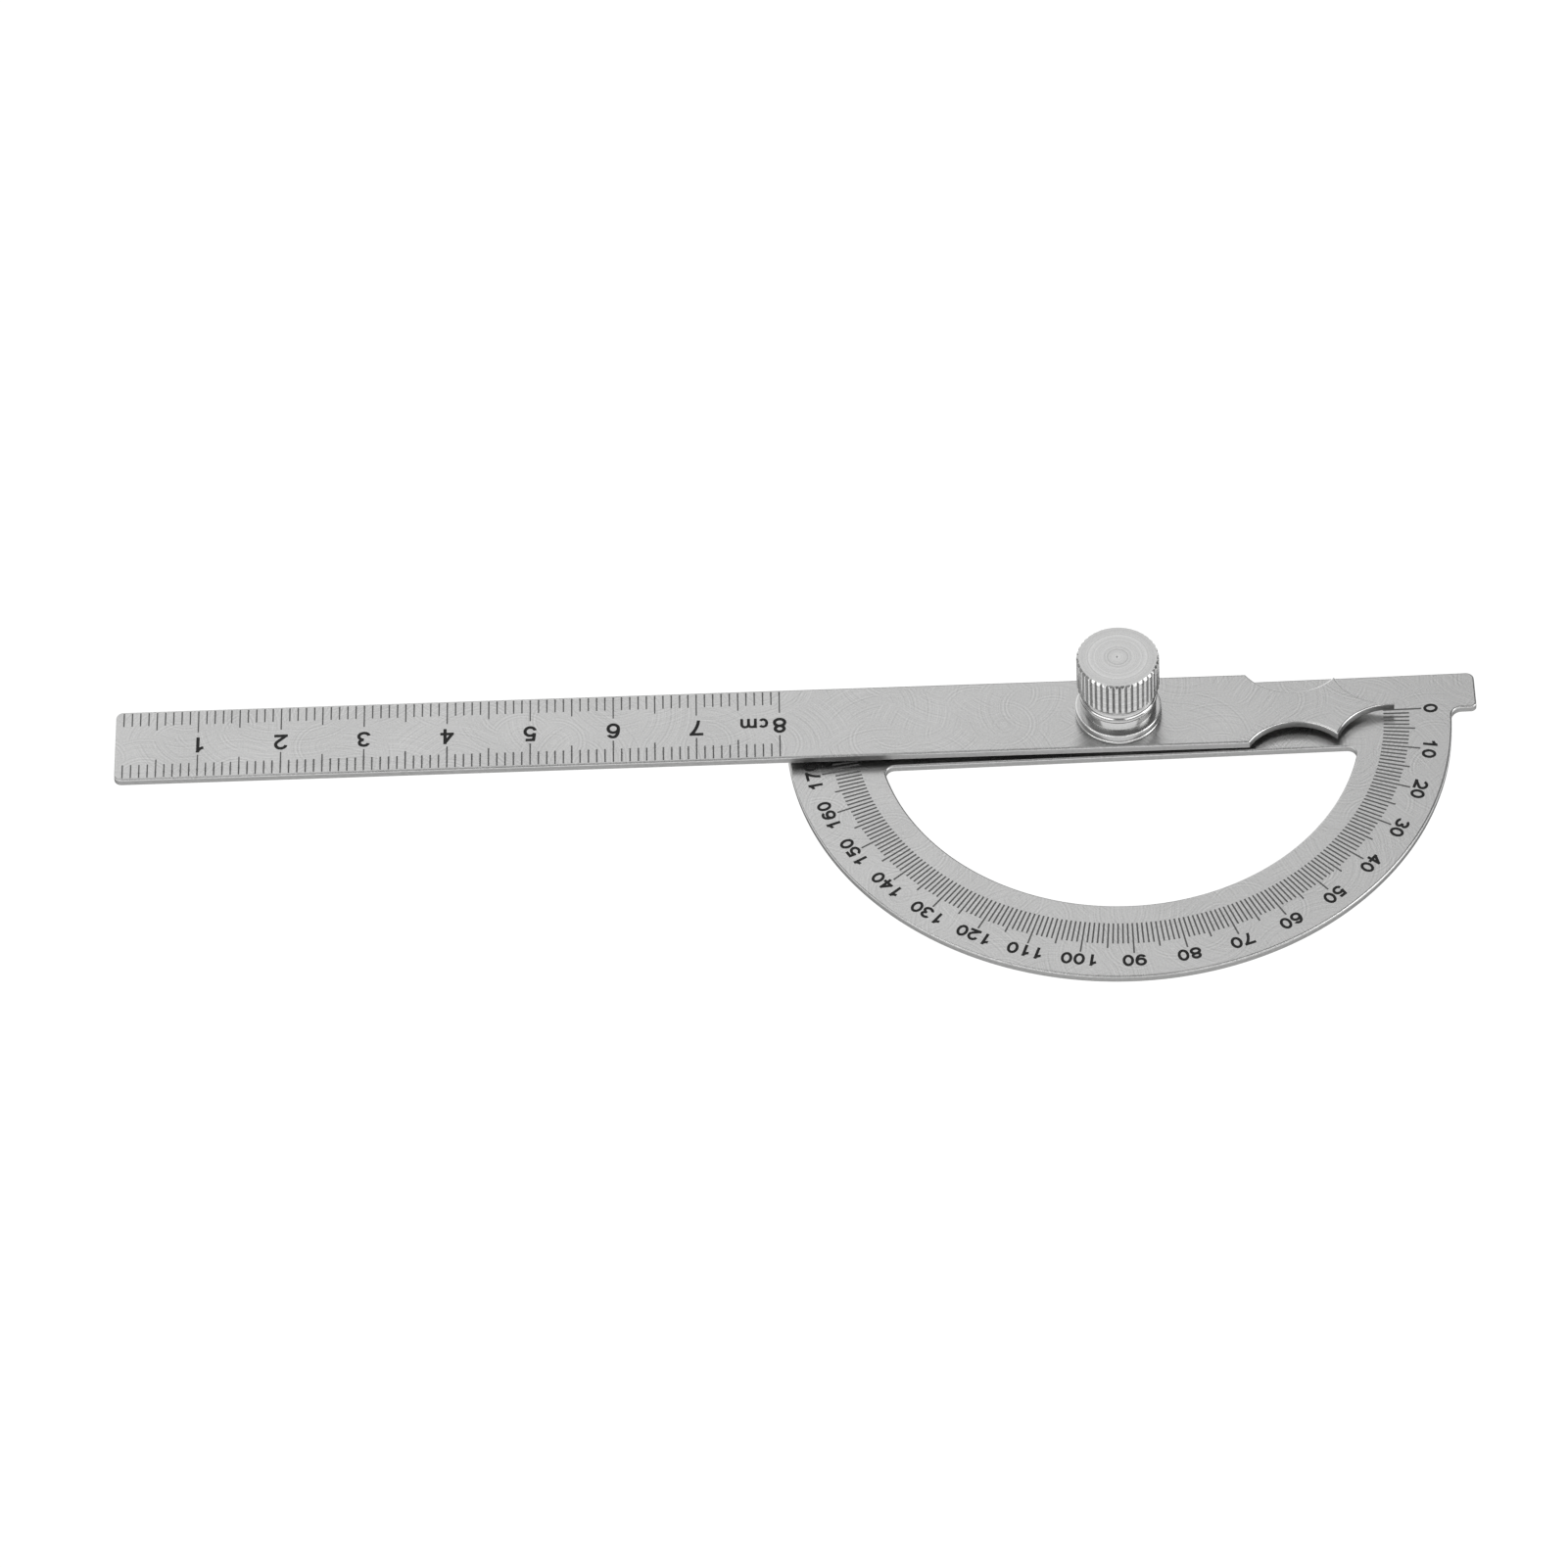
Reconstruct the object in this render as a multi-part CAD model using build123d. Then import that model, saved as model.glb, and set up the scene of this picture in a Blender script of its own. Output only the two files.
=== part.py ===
from build123d import *
import math
import os

# Steel protractor: a half-round scale plate, and a rule with a pointer that swings over it
# on a central stud, held by a knurled thumb nut.
#
# Frame: millimetres and degrees. The origin is on the pivot axis, at the plate's underside.
# +Z is up. A mark of A degrees lies A degrees clockwise from +X, seen from above, so that
# the zero mark is on +X and the ninety mark on -Y.

# --- Driving dimensions -------------------------------------------------------------------

# Scale plate
PLATE_THICKNESS = 1.0
PLATE_RADIUS = 40.0
OPENING_RADIUS = 29.0
BAR_HALF_WIDTH = 5.5
TAB_REACH = 43.1
TAB_TOP_CORNER = 1.0
TAB_LOWER_CORNER = 0.7
TAB_ROOT_FILLET = 1.3
OPENING_CORNER = 1.1
TOP_EDGE_ROUND = 0.15
LOWER_EDGE_ROUND = 0.1

# Rule arm, drawn along X with the pointer at the +X end
ARM_THICKNESS = 1.0
ARM_HALF_WIDTH = 5.45
ARM_RULE_END = -120.7
ARM_END_CORNER = 0.9
ARM_READING = 0.8
SCALLOP_START = (15.5, ARM_HALF_WIDTH)
SCALLOP_MIDDLE = (20.7, 2.45)
CUSP = (26.1, 4.65)
TAPER_MIDDLE = (28.6, 1.4)
TIP = (33.1, 0.2)

# Stack on the pivot
SPACER_THICKNESS = 0.7
SPACER_RADIUS = 3.6
WASHER_THICKNESS = 0.5
WASHER_RADIUS = 5.2
WASHER_EDGE_ROUND = 0.12
SHOULDER_RADIUS = 2.0
SHOULDER_SETBACK = 0.1
RUNNING_CLEARANCE = 0.05
LOOSE_CLEARANCE = 0.15
PRESS_INTERFERENCE = 0.01
STUD_HEAD_RADIUS = 3.4
STUD_HEAD_DEPTH = 0.7
THREAD_RADIUS = 1.95
THREAD_DEPTH = 0.3
THREAD_FLANK = 0.22
THREAD_CREST = 0.1
THREAD_PITCH = 0.7
THREAD_TURNS = 8

# Thumb nut: heights above its underside, with the radius that goes with each
NUT_BORE_RADIUS = 2.05
NUT_BORE_DEPTH = 7.4
FLANGE_RADIUS = 5.15
FLANGE_HEIGHT = 0.95
FLANGE_EDGE_ROUND = 0.15
NECK_RADIUS = 4.56
NECK_HEIGHT = 2.6
COLLAR_RADIUS = 4.68
COLLAR_HEIGHT = 4.75
COLLAR_GROOVE_HEIGHT = 3.37
COLLAR_GROOVE_RADIUS = 0.09
HEAD_RADIUS = 4.95
HEAD_CHAMFER = 0.25
HEAD_LOWER_CHAMFER = 0.1
NUT_HEIGHT = 9.5
KNURL_COUNT = 40
KNURL_DEPTH = 0.26
KNURL_WIDTH = 0.44
KNURL_OVERRUN = 0.1
DIMPLE_RADIUS = 0.18
DIMPLE_DEPTH = 0.1

# Black etched marks, which stand a hair above the steel
INK_THICKNESS = 0.02

# Degree scale: where a mark starts and how far out it reaches
DEGREE_START_RADIUS = 31.8
DEGREE_REACH = {1: 34.9, 5: 35.6, 10: 36.4}
DEGREE_LINE_WIDTH = 0.2
DEGREE_NUMERAL_RADIUS = 37.52
DEGREE_CAP_HEIGHT = 1.74
DEGREE_NUMERAL_PITCH = 1.5
DEGREE_PROPORTION = 0.78
DEGREE_STROKE = 0.35

# Rule scale: how far a mark runs in from the rule's edge
RULE_LENGTH_MM = 80
RULE_LINE_WIDTH = 0.16
RULE_REACH = {1: 2.35, 5: 3.1, 10: 3.65}
RULE_EDGE_GAP = 0.3
RULE_CAP_HEIGHT = 2.4
RULE_STROKE = 0.4
RULE_PROPORTION = 0.68
RULE_TEXT_LEVEL = -0.22
UNIT_X_HEIGHT = 1.5
UNIT_STROKE = 0.35
LETTER_C_HALF_WIDTH = 0.44
LETTER_M_ARCH = 0.41
LETTER_C_OFFSET = 1.99
LETTER_M_OFFSET = 3.73

# --- Levels worked out from the dimensions ------------------------------------------------

PLATE_TOP = PLATE_THICKNESS
ARM_BOTTOM = PLATE_TOP + SPACER_THICKNESS
ARM_TOP = ARM_BOTTOM + ARM_THICKNESS
NUT_BOTTOM = ARM_TOP + WASHER_THICKNESS
SHOULDER_TOP = ARM_TOP - SHOULDER_SETBACK
STUD_TOP = SHOULDER_TOP + THREAD_PITCH * (THREAD_TURNS + 0.5)

# The arm reads a little past zero at rest, so it is turned clockwise by that much.
ARM_TURN = Rot(0, 0, -ARM_READING)

STANDING = (Align.CENTER, Align.CENTER, Align.MIN)


def circles_of(body, radius):
    circles = body.edges().filter_by(GeomType.CIRCLE)
    return circles.filter_by(lambda circle: abs(circle.radius - radius) < 1e-6)


def ring(outer, inner, bottom, height, edge=0.0):
    """A flat washer, with its outer edges rounded if asked."""
    body = extrude(Circle(outer) - Circle(inner), height)
    if edge:
        body = fillet(circles_of(body, outer), edge)
    return Pos(0, 0, bottom) * body


def round_rims(body, level, radius):
    """Round every edge that lies at one height."""
    rims = body.edges().filter_by(lambda e: e.bounding_box().size.Z < 1e-6)
    rims = rims.filter_by(lambda e: abs(e.center().Z - level) < 1e-6)
    return fillet(rims, radius)


# --- Scale plate --------------------------------------------------------------------------

def corners_near(shape, x, y):
    return shape.vertices().filter_by(lambda v: math.hypot(abs(v.X) - x, v.Y - y) < 0.1)


def scale_plate():
    """Half disc with a straight bar, two end tabs and a half-moon opening."""
    lower_half = Rectangle(2 * PLATE_RADIUS, PLATE_RADIUS, align=(Align.CENTER, Align.MAX))
    disc = Circle(PLATE_RADIUS) & lower_half
    bar = Pos(0, BAR_HALF_WIDTH / 2) * Rectangle(2 * TAB_REACH, BAR_HALF_WIDTH)
    outline = disc + bar
    outline = fillet(corners_near(outline, TAB_REACH, BAR_HALF_WIDTH), TAB_TOP_CORNER)
    outline = fillet(corners_near(outline, TAB_REACH, 0), TAB_LOWER_CORNER)
    outline = fillet(corners_near(outline, PLATE_RADIUS, 0), TAB_ROOT_FILLET)

    below_bar = Rectangle(2 * OPENING_RADIUS, OPENING_RADIUS, align=(Align.CENTER, Align.MAX))
    below_bar = Pos(0, -BAR_HALF_WIDTH) * below_bar
    opening = Circle(OPENING_RADIUS) & below_bar
    opening = fillet(opening.vertices(), OPENING_CORNER)

    plate = extrude(outline - opening, PLATE_THICKNESS)
    plate = round_rims(plate, PLATE_THICKNESS, TOP_EDGE_ROUND)
    plate = round_rims(plate, 0, LOWER_EDGE_ROUND)
    return plate - stud_blank(-PRESS_INTERFERENCE)


def mark_size(number, reach):
    """The reach of a scale mark: long on tens, medium on fives, short on the rest."""
    if number % 10 == 0:
        return reach[10]
    return reach[5] if number % 5 == 0 else reach[1]


def degree_graduations():
    """One thin bar for each degree from 0 to 180."""
    bars = []
    for angle in range(0, 181):
        length = mark_size(angle, DEGREE_REACH) - DEGREE_START_RADIUS
        bar = Box(length, DEGREE_LINE_WIDTH, INK_THICKNESS, align=(Align.MIN, Align.CENTER, Align.MIN))
        bars.append(Rot(0, 0, -angle) * Pos(DEGREE_START_RADIUS, 0, PLATE_TOP) * bar)
    return Compound(bars)


# --- Rule arm -----------------------------------------------------------------------------

def mirrored(point):
    return (point[0], -point[1])


def rule_arm():
    """A straight rule whose other end is scalloped to a pointer."""
    start, middle, cusp, taper, tip = SCALLOP_START, SCALLOP_MIDDLE, CUSP, TAPER_MIDDLE, TIP
    outline = [
        Line((ARM_RULE_END, -ARM_HALF_WIDTH), mirrored(start)),
        ThreePointArc(mirrored(start), mirrored(middle), mirrored(cusp)),
        ThreePointArc(mirrored(cusp), mirrored(taper), mirrored(tip)),
        Line(mirrored(tip), tip),
        ThreePointArc(tip, taper, cusp),
        ThreePointArc(cusp, middle, start),
        Line(start, (ARM_RULE_END, ARM_HALF_WIDTH)),
        Line((ARM_RULE_END, ARM_HALF_WIDTH), (ARM_RULE_END, -ARM_HALF_WIDTH)),
    ]
    face = make_face(outline)
    face = fillet(face.vertices().filter_by(lambda v: v.X < ARM_RULE_END + 1), ARM_END_CORNER)
    arm = Pos(0, 0, ARM_BOTTOM) * extrude(face, ARM_THICKNESS)
    arm = round_rims(arm, ARM_TOP, TOP_EDGE_ROUND)
    arm = round_rims(arm, ARM_BOTTOM, LOWER_EDGE_ROUND)
    hole = Cylinder(SHOULDER_RADIUS + RUNNING_CLEARANCE, ARM_TOP, align=STANDING)
    return ARM_TURN * (arm - hole)


def rule_graduations():
    """Millimetre marks on both edges of the rule, counted from its square end."""
    bars = []
    for number in range(1, RULE_LENGTH_MM + 1):
        reach = mark_size(number, RULE_REACH)
        length = reach - RULE_EDGE_GAP
        bar = Box(RULE_LINE_WIDTH, length, INK_THICKNESS, align=(Align.CENTER, Align.MIN, Align.MIN))
        for side in (-1, 1):
            near = -ARM_HALF_WIDTH + RULE_EDGE_GAP if side < 0 else ARM_HALF_WIDTH - reach
            bars.append(ARM_TURN * Pos(ARM_RULE_END + number, near, ARM_TOP) * bar)
    return Compound(bars)


# --- Numerals -----------------------------------------------------------------------------
# Each numeral is drawn as pen strokes round a centre line, in a box of half-width a and
# height h that stands on y = 0, centred on x = 0. The pen adds p, half its width, all round,
# so straight strokes run on by p and the finished numeral is trimmed to its outer box.

def oval(x, y, x_radius, y_radius, start=0.0, end=360.0):
    plane = Plane(origin=(x, y, 0))
    return Edge.make_ellipse(x_radius, y_radius, plane, start, end)


def straight(first, last):
    return Edge.make_line(Vector(*first), Vector(*last))


def bend(first, middle, last):
    return Edge.make_three_point_arc(Vector(*first), Vector(*middle), Vector(*last))


def pen_zero(a, h, p):
    return [oval(0, h / 2, a, h / 2)]


def pen_one(a, h, p):
    flag = bend((0.1 * a, h + p), (-0.4 * a, 0.83 * h), (-1.1 * a, 0.72 * h))
    return [straight((0, -p), (0, h + p)), flag]


def pen_two(a, h, p):
    top = oval(0, h - a, a, a, -40, 168)
    turn = math.radians(40)
    corner = (a * math.cos(turn), h - a - a * math.sin(turn))
    return [top, straight(corner, (-a, 0)), straight((-a - p, 0), (a + p, 0))]


def pen_three(a, h, p):
    return [oval(0, 0.765 * h, 0.88 * a, 0.235 * h, -90, 165), oval(0, 0.265 * h, a, 0.265 * h, -168, 90)]


def pen_four(a, h, p):
    stem = 0.4 * a
    bar = 0.3 * h
    return [
        straight((stem, -p), (stem, h + p)),
        straight((stem, h), (-a, bar)),
        straight((-a - p, bar), (a + p, bar)),
    ]


def pen_five(a, h, p):
    bowl = oval(0, 0.33 * h, a, 0.33 * h, -165, 140)
    back = straight((-0.62 * a, h + p), (-0.85 * a, 0.46 * h))
    return [straight((-0.7 * a, h), (0.9 * a, h)), back, bowl]


def pen_six(a, h, p):
    bowl = oval(0, 0.32 * h, a, 0.32 * h)
    back = oval(0, 0.4 * h, a, 0.6 * h, 90, 190)
    hook = oval(0, 0.76 * h, 0.92 * a, 0.24 * h, 15, 90)
    return [bowl, back, hook]


def pen_seven(a, h, p):
    return [straight((-a - p, h), (a + p, h)), bend((a, h), (0.05 * a, 0.5 * h), (-0.42 * a, -p))]


def pen_eight(a, h, p):
    return [oval(0, 0.77 * h, 0.86 * a, 0.23 * h), oval(0, 0.27 * h, a, 0.27 * h)]


PEN_PATHS = [pen_zero, pen_one, pen_two, pen_three, pen_four, pen_five, pen_six, pen_seven, pen_eight]


def inked(strokes, width):
    """Turn pen strokes into one flat outline of the given line width."""
    outline = Sketch()
    for stroke in strokes:
        outline += trace(stroke, width)
    return outline


def numeral(digit, cap_height, width, proportion):
    """A flat numeral, centred on the origin."""
    if digit == 9:
        return Rot(0, 0, 180) * numeral(6, cap_height, width, proportion)
    half_width = (proportion * cap_height - width) / 2
    height = cap_height - width
    drawn = inked(PEN_PATHS[digit](half_width, height, width / 2), width)
    return (Pos(0, -height / 2) * drawn) & Rectangle(2 * cap_height, cap_height)


def degree_number(value):
    """The digits of a number on the plate side by side, centred on the origin."""
    digits = str(value)
    first = -DEGREE_NUMERAL_PITCH * (len(digits) - 1) / 2
    placed = []
    for i, digit in enumerate(digits):
        drawn = numeral(int(digit), DEGREE_CAP_HEIGHT, DEGREE_STROKE, DEGREE_PROPORTION)
        placed.append(Pos(first + i * DEGREE_NUMERAL_PITCH, 0) * drawn)
    return placed


def degree_numerals():
    """Numbers every ten degrees, with their tops towards the rim."""
    solids = []
    for angle in range(0, 181, 10):
        place = Rot(0, 0, -angle) * Pos(DEGREE_NUMERAL_RADIUS, 0, PLATE_TOP) * Rot(0, 0, -90)
        solids += [place * extrude(digit, INK_THICKNESS) for digit in degree_number(angle)]
    return Compound(solids)


def on_rule(number):
    """Place near the rule's centre line, with text upright as seen from the far side."""
    return ARM_TURN * Pos(ARM_RULE_END + number, RULE_TEXT_LEVEL, ARM_TOP) * Rot(0, 0, 180)


def rule_numerals():
    """Centimetre numbers from 1 to 8 along the middle of the rule."""
    solids = []
    for number in range(10, RULE_LENGTH_MM + 1, 10):
        digit = numeral(number // 10, RULE_CAP_HEIGHT, RULE_STROKE, RULE_PROPORTION)
        solids.append(on_rule(number) * extrude(digit, INK_THICKNESS))
    return Compound(solids)


def rule_unit():
    """The unit, cm, after the last number."""
    height = UNIT_X_HEIGHT - UNIT_STROKE
    half_pen = UNIT_STROKE / 2
    letter_c = inked([oval(0, height / 2, LETTER_C_HALF_WIDTH, height / 2, 42, 318)], UNIT_STROKE)
    arch = LETTER_M_ARCH
    strokes = [straight((-2 * arch, -half_pen), (-2 * arch, height + half_pen))]
    for centre in (-arch, arch):
        strokes.append(oval(centre, height - arch, arch, arch, 0, 180))
        strokes.append(straight((centre + arch, -half_pen), (centre + arch, height - arch)))
    letter_m = inked(strokes, UNIT_STROKE)
    baseline = (UNIT_STROKE - RULE_CAP_HEIGHT) / 2
    text = [Pos(LETTER_C_OFFSET, baseline) * letter_c, Pos(LETTER_M_OFFSET, baseline) * letter_m]
    return Compound([on_rule(RULE_LENGTH_MM) * extrude(letter, INK_THICKNESS) for letter in text])


# --- Stack on the pivot -------------------------------------------------------------------

def turned(points):
    """A solid of revolution about Z, from (radius, height) points."""
    profile = make_face(Polyline(*points, close=True))
    return revolve(Plane.XZ * profile, Axis.Z)


def stud_blank(growth=0.0):
    """The stud's countersunk head and shoulder, grown or shrunk for the hole it sits in."""
    head = STUD_HEAD_RADIUS + growth
    shoulder = SHOULDER_RADIUS + growth
    points = [(0, 0), (head, 0), (shoulder, STUD_HEAD_DEPTH), (shoulder, SHOULDER_TOP), (0, SHOULDER_TOP)]
    return turned(points)


def pivot_stud():
    """Countersunk stud with a smooth shoulder and a thread of plain V grooves."""
    root = THREAD_RADIUS - THREAD_DEPTH
    points = [(0, SHOULDER_TOP), (root, SHOULDER_TOP)]
    for turn in range(THREAD_TURNS):
        level = SHOULDER_TOP + THREAD_PITCH * (turn + 0.5)
        crest = level + THREAD_FLANK
        points += [(root, level), (THREAD_RADIUS, crest), (THREAD_RADIUS, crest + THREAD_CREST)]
        points += [(root, crest + THREAD_CREST + THREAD_FLANK)]
    points += [(root, STUD_TOP), (0, STUD_TOP)]
    return stud_blank() + turned(points)


def spacer_washer():
    return ring(SPACER_RADIUS, SHOULDER_RADIUS + LOOSE_CLEARANCE, PLATE_TOP, SPACER_THICKNESS)


def flat_washer():
    inner = SHOULDER_RADIUS + LOOSE_CLEARANCE
    return ring(WASHER_RADIUS, inner, ARM_TOP, WASHER_THICKNESS, WASHER_EDGE_ROUND)


# --- Thumb nut ----------------------------------------------------------------------------

def knurl_outline():
    """The head's round outline with V grooves cut into it at even steps."""
    floor = HEAD_RADIUS - KNURL_DEPTH
    mouth = HEAD_RADIUS + KNURL_OVERRUN
    half = KNURL_WIDTH / 2 * (mouth - floor) / KNURL_DEPTH
    groove = make_face(Polyline((floor, 0), (mouth, half), (mouth, -half), close=True))
    grooves = [Rot(0, 0, 360 * i / KNURL_COUNT) * groove for i in range(KNURL_COUNT)]
    return Circle(HEAD_RADIUS) - grooves


def thumb_nut():
    """Blind nut with a flange, a neck, a grooved collar and a knurled head."""
    collar_start = NECK_HEIGHT + COLLAR_RADIUS - NECK_RADIUS
    lower = turned([
        (0, 0), (FLANGE_RADIUS, 0), (FLANGE_RADIUS, FLANGE_HEIGHT),
        (NECK_RADIUS, FLANGE_HEIGHT), (NECK_RADIUS, NECK_HEIGHT),
        (COLLAR_RADIUS, collar_start), (COLLAR_RADIUS, COLLAR_HEIGHT), (0, COLLAR_HEIGHT)])
    lower = fillet(circles_of(lower, FLANGE_RADIUS), FLANGE_EDGE_ROUND)
    lower -= Pos(0, 0, COLLAR_GROOVE_HEIGHT) * Torus(COLLAR_RADIUS, COLLAR_GROOVE_RADIUS)

    envelope = turned([
        (0, COLLAR_HEIGHT), (HEAD_RADIUS - HEAD_LOWER_CHAMFER, COLLAR_HEIGHT),
        (HEAD_RADIUS, COLLAR_HEIGHT + HEAD_LOWER_CHAMFER), (HEAD_RADIUS, NUT_HEIGHT - HEAD_CHAMFER),
        (HEAD_RADIUS - HEAD_CHAMFER, NUT_HEIGHT), (DIMPLE_RADIUS, NUT_HEIGHT),
        (0, NUT_HEIGHT - DIMPLE_DEPTH)])
    head = Pos(0, 0, COLLAR_HEIGHT) * extrude(knurl_outline(), NUT_HEIGHT - COLLAR_HEIGHT)
    head &= envelope

    bore = Cylinder(NUT_BORE_RADIUS, NUT_BORE_DEPTH, align=STANDING)
    return Pos(0, 0, NUT_BOTTOM) * (lower + head - bore)


# --- Write one file for each piece --------------------------------------------------------

PIECES = {
    "protractor_plate": scale_plate,
    "degree_graduations": degree_graduations,
    "degree_numerals": degree_numerals,
    "pivot_stud": pivot_stud,
    "spacer_washer": spacer_washer,
    "ruler_arm": rule_arm,
    "ruler_graduations": rule_graduations,
    "ruler_numerals": rule_numerals,
    "ruler_unit_mark": rule_unit,
    "flat_washer": flat_washer,
    "thumb_nut": thumb_nut,
}

os.makedirs("parts", exist_ok=True)
for name, make in PIECES.items():
    export_step(make(), f"parts/{name}.step")
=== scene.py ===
import math

import bmesh
import bpy
from mathutils import Matrix, Vector
from mathutils.geometry import tessellate_polygon


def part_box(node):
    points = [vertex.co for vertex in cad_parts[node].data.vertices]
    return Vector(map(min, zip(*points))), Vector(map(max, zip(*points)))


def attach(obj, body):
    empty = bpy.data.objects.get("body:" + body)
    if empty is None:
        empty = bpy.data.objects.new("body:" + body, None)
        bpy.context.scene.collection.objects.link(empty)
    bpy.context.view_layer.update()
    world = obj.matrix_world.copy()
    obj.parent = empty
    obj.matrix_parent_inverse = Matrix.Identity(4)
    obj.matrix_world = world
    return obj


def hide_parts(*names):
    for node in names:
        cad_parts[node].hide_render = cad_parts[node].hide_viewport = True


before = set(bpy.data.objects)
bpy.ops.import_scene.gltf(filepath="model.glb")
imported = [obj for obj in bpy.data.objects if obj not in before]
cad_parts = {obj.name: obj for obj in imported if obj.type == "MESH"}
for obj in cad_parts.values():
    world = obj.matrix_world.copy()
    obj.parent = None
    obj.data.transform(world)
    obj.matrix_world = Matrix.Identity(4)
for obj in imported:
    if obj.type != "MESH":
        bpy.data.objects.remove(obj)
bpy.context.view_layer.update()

# Steel protractor: a half-round scale plate, and a rule with a scalloped pointer that swings
# over it, held by a knurled thumb nut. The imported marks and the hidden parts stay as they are.
# The plate, rule, washer and nut are built again here, with finer curves and softer edges.

MM = 0.001
scene = bpy.context.scene


# --- Dimensions, in millimetres -----------------------------------------------------------

PLATE_RADIUS = 40.0
OPENING_RADIUS = 29.0
BAR_HALF_WIDTH = 5.5
TAB_REACH = 43.1
TAB_TOP_CORNER = 1.0
TAB_LOWER_CORNER = 0.7
TAB_ROOT_FILLET = 1.3
OPENING_CORNER = 1.1
TOP_EDGE_ROUND = 0.22
LOWER_EDGE_ROUND = 0.1
TIP_EDGE_SHARE = 0.6

SHOULDER_RADIUS = 2.0
SHOULDER_HOLE = 2.05
STUD_HEAD_RADIUS = 3.4
STUD_HEAD_DEPTH = 0.7

ARM_HALF_WIDTH = 5.45
ARM_RULE_END = -120.7
ARM_END_CORNER = 0.9
ARM_READING = 0.8
SCALLOP_START = (15.5, ARM_HALF_WIDTH)
SCALLOP_MIDDLE = (20.7, 2.45)
CUSP = (26.1, 4.65)
TAPER_MIDDLE = (28.6, 1.4)
TIP = (33.1, 0.2)

WASHER_RADIUS = 5.2
WASHER_HOLE = 2.15
WASHER_EDGE = 0.12

NUT_BORE_RADIUS = 2.05
NUT_BORE_DEPTH = 7.4
FLANGE_RADIUS = 5.15
FLANGE_HEIGHT = 0.95
FLANGE_EDGE = 0.15
NECK_RADIUS = 4.56
COLLAR_HEIGHT = 4.75
BEAD_RADIUS = 4.68
BEAD_VALLEY_RADIUS = 4.48
BEAD_LEVELS = (2.6, 3.37, 4.45)
HEAD_RADIUS = 4.95
HEAD_CHAMFER = 0.25
HEAD_LOWER_CHAMFER = 0.1
NUT_HEIGHT = 9.5
KNURL_COUNT = 40
DIMPLE_RADIUS = 0.18
DIMPLE_DEPTH = 0.1

# Deeper than this below the rim, a groove is darkened with painted shade
GROOVE_MOUTH_DEPTH = 0.1

# One knurl across: distance along the rim from the groove's middle, and depth of cut there
HALF_GROOVE = [(0.03, 0.235), (0.14, 0.102), (0.2, 0.03), (0.26, 0)]
HALF_PITCH = 0.389
KNURL_SHAPE = [(-along, cut) for along, cut in reversed(HALF_GROOVE)]
KNURL_SHAPE += HALF_GROOVE + [(HALF_PITCH, 0)]

PLATE_BOTTOM, PLATE_TOP = (corner.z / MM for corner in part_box("protractor_plate"))
ARM_BOTTOM, ARM_TOP = (corner.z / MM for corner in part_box("ruler_arm"))
WASHER_BOTTOM, WASHER_TOP = (corner.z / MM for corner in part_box("flat_washer"))
NUT_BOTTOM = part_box("thumb_nut")[0].z / MM

# How finely curves are divided. Spacings are in degrees
EDGE_STEPS = 5
CIRCLE_STEPS = 96
WASHER_STEPS = 144
LARGE_ARC_RADIUS = 10.0
LARGE_ARC_SPACING = 1.0
SMALL_ARC_SPACING = 10.0
POINTER_ARC_SPACING = 2.5
LEAST_ARC_STEPS = 4
LEAST_POINTER_STEPS = 8
SAME_POINT = 1e-6

# An inset corner moves out along its bisector by at most 1 / LEAST_STRETCH times the inset
LEAST_STRETCH = 0.4

# Edges that turn by more than this are sharp
SMOOTH_LIMIT = math.radians(28)

# A sheet's edge row that rises more than this for each unit it runs in is steep
STEEP_SLOPE = 1.5

# The vertical part of a face's normal is under the first of these if the face is upright, and
# over the second if it is flat
UPRIGHT_LIMIT = 0.1
FLAT_LIMIT = 0.99


# --- Flat outlines ------------------------------------------------------------------------

def arc(centre, radius, start, end):
    """Points on an arc from one angle to another, in degrees, closer together on small arcs."""
    spacing = LARGE_ARC_SPACING if radius > LARGE_ARC_RADIUS else SMALL_ARC_SPACING
    steps = max(LEAST_ARC_STEPS, math.ceil(abs(end - start) / spacing))
    angles = (math.radians(start + (end - start) * i / steps) for i in range(steps + 1))
    x, y = centre
    return [Vector((x + radius * math.cos(a), y + radius * math.sin(a))) for a in angles]


def arc_through(first, middle, last):
    """An arc through three points, without its last point."""
    (ax, ay), (bx, by), (cx, cy) = first, middle, last
    d = 2 * (ax * (by - cy) + bx * (cy - ay) + cx * (ay - by))
    a2, b2, c2 = ax * ax + ay * ay, bx * bx + by * by, cx * cx + cy * cy
    x = (a2 * (by - cy) + b2 * (cy - ay) + c2 * (ay - by)) / d
    y = (a2 * (cx - bx) + b2 * (ax - cx) + c2 * (bx - ax)) / d
    radius = math.hypot(ax - x, ay - y)
    points = (first, middle, last)
    start, halfway, end = (math.degrees(math.atan2(p[1] - y, p[0] - x)) for p in points)
    sweep = (end - start) % 360
    if (halfway - start) % 360 > sweep:
        sweep -= 360
    steps = max(LEAST_POINTER_STEPS, math.ceil(abs(sweep) / POINTER_ARC_SPACING))
    angles = (math.radians(start + sweep * i / steps) for i in range(steps))
    return [Vector((x + radius * math.cos(a), y + radius * math.sin(a))) for a in angles]


def mirror_across_x(points):
    return [Vector((-p.x, p.y)) for p in reversed(points)]


def without_repeats(points):
    """Drop each point that lies on the one before it."""
    return [p for i, p in enumerate(points) if (p - points[i - 1]).length > SAME_POINT]


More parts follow.
